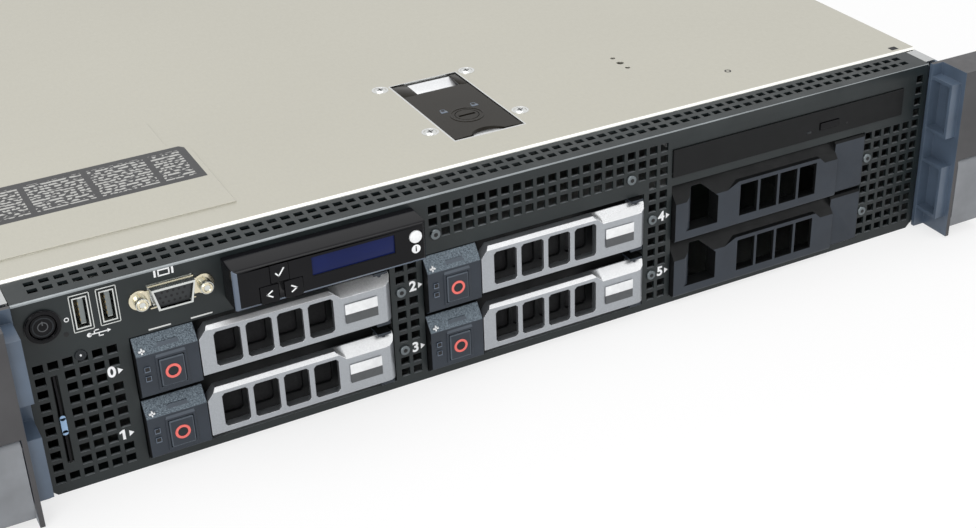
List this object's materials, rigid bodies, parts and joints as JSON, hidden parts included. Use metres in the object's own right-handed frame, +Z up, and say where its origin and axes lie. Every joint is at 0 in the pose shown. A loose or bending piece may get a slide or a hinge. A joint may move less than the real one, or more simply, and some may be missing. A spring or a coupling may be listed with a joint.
{
  "type": "rack server",
  "caption": "Rack-mounted server with a flat perforated front, plug-in drive modules, a lift-off lid, fans and plug-in power supplies.",
  "frame": {"origin": "on the underside, at the middle of the width and of the whole length", "axes": "+X to the right seen from the front, +Y from the front to the rear, +Z up"},
  "size_m": [0.4826, 0.724, 0.0876],
  "materials": {
    "bare_steel": "lightly grained bare zinc-coated sheet",
    "dark_sheet": "near-black matt coat",
    "frame_steel": "zinc-plated sheet",
    "black_plastic": "fine grained",
    "gloss_black": "polished",
    "satin_silver": "satin silver",
    "slate_plastic": "fine grained slate blue",
    "grey_plastic": "fine grained",
    "pale_plastic": "pale blue",
    "board_green": "solder mask",
    "cast_alloy": "as cast",
    "fin_alloy": "bare",
    "port_steel": "bright with a warm tint",
    "latch_orange": "plain"
  },
  "bodies": {
    "chassis": {"chassis_pan": "frame_steel", "front_fascia": "dark_sheet", "rack_screws": "frame_steel", "drive_cage": "frame_steel", "backplane": "board_green", "motherboard": "board_green", "rear_panel": "frame_steel", "heat_sinks": "fin_alloy", "plug_in_boards": "board_green", "fan_frames": "black_plastic", "rear_connectors": "port_steel", "slot_covers": "frame_steel", "front_connectors": "port_steel", "lcd_housing": "gloss_black", "tag_guide": "grey_plastic", "optical_case": "frame_steel", "ear_right": "slate_plastic", "ear_left": "slate_plastic"},
    "cover": {"top_cover": "bare_steel", "cover_runners": "bare_steel", "latch_base": "black_plastic"},
    "latch_lever": {"latch_lever": "black_plastic"},
    "latch_lock": {"latch_lock": "grey_plastic"},
    "power_button": {"power_button": "grey_plastic"},
    "id_button": {"id_button": "grey_plastic"},
    "info_tag": {"info_tag": "pale_plastic"},
    "optical_tray": {"optical_tray": "black_plastic"},
    "eject_button": {"eject_button": "black_plastic"},
    "ear_latch_right": {"ear_latch_right": "grey_plastic"},
    "ear_latch_left": {"ear_latch_left": "grey_plastic"},
    "drive_blank_4": {"drive_blank_4": "black_plastic"},
    "drive_blank_5": {"drive_blank_5": "black_plastic"},
    "nav_button_select": {"nav_button_select": "gloss_black"},
    "nav_button_left": {"nav_button_left": "gloss_black"},
    "nav_button_right": {"nav_button_right": "gloss_black"},
    "fan_rotor_1": {"fan_rotor_1": "black_plastic"},
    "fan_rotor_2": {"fan_rotor_2": "black_plastic"},
    "fan_rotor_3": {"fan_rotor_3": "black_plastic"},
    "fan_rotor_4": {"fan_rotor_4": "black_plastic"},
    "fan_rotor_5": {"fan_rotor_5": "black_plastic"},
    "psu_1": {"psu_1": "frame_steel"},
    "psu_latch_1": {"psu_latch_1": "latch_orange"},
    "psu_2": {"psu_2": "frame_steel"},
    "psu_latch_2": {"psu_latch_2": "latch_orange"},
    "drive_0": {"drive_carrier_0": "black_plastic", "hard_disk_0": "cast_alloy"},
    "drive_handle_0": {"drive_handle_0": "satin_silver"},
    "release_button_0": {"release_button_0": "black_plastic"},
    "drive_1": {"drive_carrier_1": "black_plastic", "hard_disk_1": "cast_alloy"},
    "drive_handle_1": {"drive_handle_1": "satin_silver"},
    "release_button_1": {"release_button_1": "black_plastic"},
    "drive_2": {"drive_carrier_2": "black_plastic", "hard_disk_2": "cast_alloy"},
    "drive_handle_2": {"drive_handle_2": "satin_silver"},
    "release_button_2": {"release_button_2": "black_plastic"},
    "drive_3": {"drive_carrier_3": "black_plastic", "hard_disk_3": "cast_alloy"},
    "drive_handle_3": {"drive_handle_3": "satin_silver"},
    "release_button_3": {"release_button_3": "black_plastic"}
  },
  "joints": [
    {"name": "cover_lift", "type": "slide", "parent": "chassis", "child": "cover", "axis": [0, 0, 1], "range_m": [0, 0.15]},
    {"name": "latch_lever_swing", "type": "hinge", "parent": "cover", "child": "latch_lever", "pos_m": [0.0015, -0.302, 0.0828], "axis": [1, 0, 0], "range_deg": [0, 75]},
    {"name": "latch_lock_turn", "type": "hinge", "parent": "latch_lever", "child": "latch_lock", "pos_m": [0.0015, -0.2836, 0.084], "axis": [0, 0, 1], "range_deg": [0, 90]},
    {"name": "drive_0_slide", "type": "slide", "parent": "chassis", "child": "drive_0", "axis": [0, -1, 0], "range_m": [0, 0.16]},
    {"name": "drive_handle_0_swing", "type": "hinge", "parent": "drive_0", "child": "drive_handle_0", "pos_m": [-0.0709, -0.344, 0.0473], "axis": [0, 0, 1], "range_deg": [0, 50]},
    {"name": "release_button_0_press", "type": "slide", "parent": "drive_0", "child": "release_button_0", "axis": [0, 1, 0], "range_m": [0, 0.0015], "stiffness_N_per_m": 400},
    {"name": "drive_1_slide", "type": "slide", "parent": "chassis", "child": "drive_1", "axis": [0, -1, 0], "range_m": [0, 0.16]},
    {"name": "drive_handle_1_swing", "type": "hinge", "parent": "drive_1", "child": "drive_handle_1", "pos_m": [-0.0709, -0.344, 0.0187], "axis": [0, 0, 1], "range_deg": [0, 50]},
    {"name": "release_button_1_press", "type": "slide", "parent": "drive_1", "child": "release_button_1", "axis": [0, 1, 0], "range_m": [0, 0.0015], "stiffness_N_per_m": 400},
    {"name": "drive_2_slide", "type": "slide", "parent": "chassis", "child": "drive_2", "axis": [0, -1, 0], "range_m": [0, 0.16]},
    {"name": "drive_handle_2_swing", "type": "hinge", "parent": "drive_2", "child": "drive_handle_2", "pos_m": [0.051, -0.344, 0.0473], "axis": [0, 0, 1], "range_deg": [0, 50]},
    {"name": "release_button_2_press", "type": "slide", "parent": "drive_2", "child": "release_button_2", "axis": [0, 1, 0], "range_m": [0, 0.0015], "stiffness_N_per_m": 400},
    {"name": "drive_3_slide", "type": "slide", "parent": "chassis", "child": "drive_3", "axis": [0, -1, 0], "range_m": [0, 0.16]},
    {"name": "drive_handle_3_swing", "type": "hinge", "parent": "drive_3", "child": "drive_handle_3", "pos_m": [0.051, -0.344, 0.0187], "axis": [0, 0, 1], "range_deg": [0, 50]},
    {"name": "release_button_3_press", "type": "slide", "parent": "drive_3", "child": "release_button_3", "axis": [0, 1, 0], "range_m": [0, 0.0015], "stiffness_N_per_m": 400},
    {"name": "drive_blank_4_slide", "type": "slide", "parent": "chassis", "child": "drive_blank_4", "axis": [0, -1, 0], "range_m": [0, 0.06]},
    {"name": "drive_blank_5_slide", "type": "slide", "parent": "chassis", "child": "drive_blank_5", "axis": [0, -1, 0], "range_m": [0, 0.06]},
    {"name": "optical_tray_slide", "type": "slide", "parent": "chassis", "child": "optical_tray", "axis": [0, -1, 0], "range_m": [0, 0.12]},
    {"name": "eject_button_press", "type": "slide", "parent": "optical_tray", "child": "eject_button", "axis": [0, 1, 0], "range_m": [0, 0.0008], "stiffness_N_per_m": 400},
    {"name": "power_button_press", "type": "slide", "parent": "chassis", "child": "power_button", "axis": [0, 1, 0], "range_m": [0, 0.001], "stiffness_N_per_m": 400},
    {"name": "id_button_press", "type": "slide", "parent": "chassis", "child": "id_button", "axis": [0, 1, 0], "range_m": [0, 0.001], "stiffness_N_per_m": 400},
    {"name": "nav_button_select_press", "type": "slide", "parent": "chassis", "child": "nav_button_select", "axis": [0, 1, 0], "range_m": [0, 0.001], "stiffness_N_per_m": 400},
    {"name": "nav_button_left_press", "type": "slide", "parent": "chassis", "child": "nav_button_left", "axis": [0, 1, 0], "range_m": [0, 0.001], "stiffness_N_per_m": 400},
    {"name": "nav_button_right_press", "type": "slide", "parent": "chassis", "child": "nav_button_right", "axis": [0, 1, 0], "range_m": [0, 0.001], "stiffness_N_per_m": 400},
    {"name": "info_tag_slide", "type": "slide", "parent": "chassis", "child": "info_tag", "axis": [0, -1, 0], "range_m": [0, 0.045]},
    {"name": "ear_latch_right_swing", "type": "hinge", "parent": "chassis", "child": "ear_latch_right", "pos_m": [0.231, -0.359, 0.038], "axis": [-1, 0, 0], "range_deg": [0, 20], "stiffness_Nm_per_rad": 0.05},
    {"name": "ear_latch_left_swing", "type": "hinge", "parent": "chassis", "child": "ear_latch_left", "pos_m": [-0.231, -0.359, 0.038], "axis": [-1, 0, 0], "range_deg": [0, 20], "stiffness_Nm_per_rad": 0.05},
    {"name": "fan_rotor_1_spin", "type": "hinge", "parent": "chassis", "child": "fan_rotor_1", "pos_m": [-0.164, -0.12, 0.0395], "axis": [0, 1, 0], "continuous": true},
    {"name": "fan_rotor_2_spin", "type": "hinge", "parent": "chassis", "child": "fan_rotor_2", "pos_m": [-0.082, -0.12, 0.0395], "axis": [0, 1, 0], "continuous": true},
    {"name": "fan_rotor_3_spin", "type": "hinge", "parent": "chassis", "child": "fan_rotor_3", "pos_m": [0, -0.12, 0.0395], "axis": [0, 1, 0], "continuous": true},
    {"name": "fan_rotor_4_spin", "type": "hinge", "parent": "chassis", "child": "fan_rotor_4", "pos_m": [0.082, -0.12, 0.0395], "axis": [0, 1, 0], "continuous": true},
    {"name": "fan_rotor_5_spin", "type": "hinge", "parent": "chassis", "child": "fan_rotor_5", "pos_m": [0.164, -0.12, 0.0395], "axis": [0, 1, 0], "continuous": true},
    {"name": "psu_1_slide", "type": "slide", "parent": "chassis", "child": "psu_1", "axis": [0, 1, 0], "range_m": [0, 0.2]},
    {"name": "psu_latch_1_press", "type": "slide", "parent": "psu_1", "child": "psu_latch_1", "axis": [-1, 0, 0], "range_m": [0, 0.002], "stiffness_N_per_m": 800},
    {"name": "psu_2_slide", "type": "slide", "parent": "chassis", "child": "psu_2", "axis": [0, 1, 0], "range_m": [0, 0.2]},
    {"name": "psu_latch_2_press", "type": "slide", "parent": "psu_2", "child": "psu_latch_2", "axis": [-1, 0, 0], "range_m": [0, 0.002], "stiffness_N_per_m": 800}
  ]
}
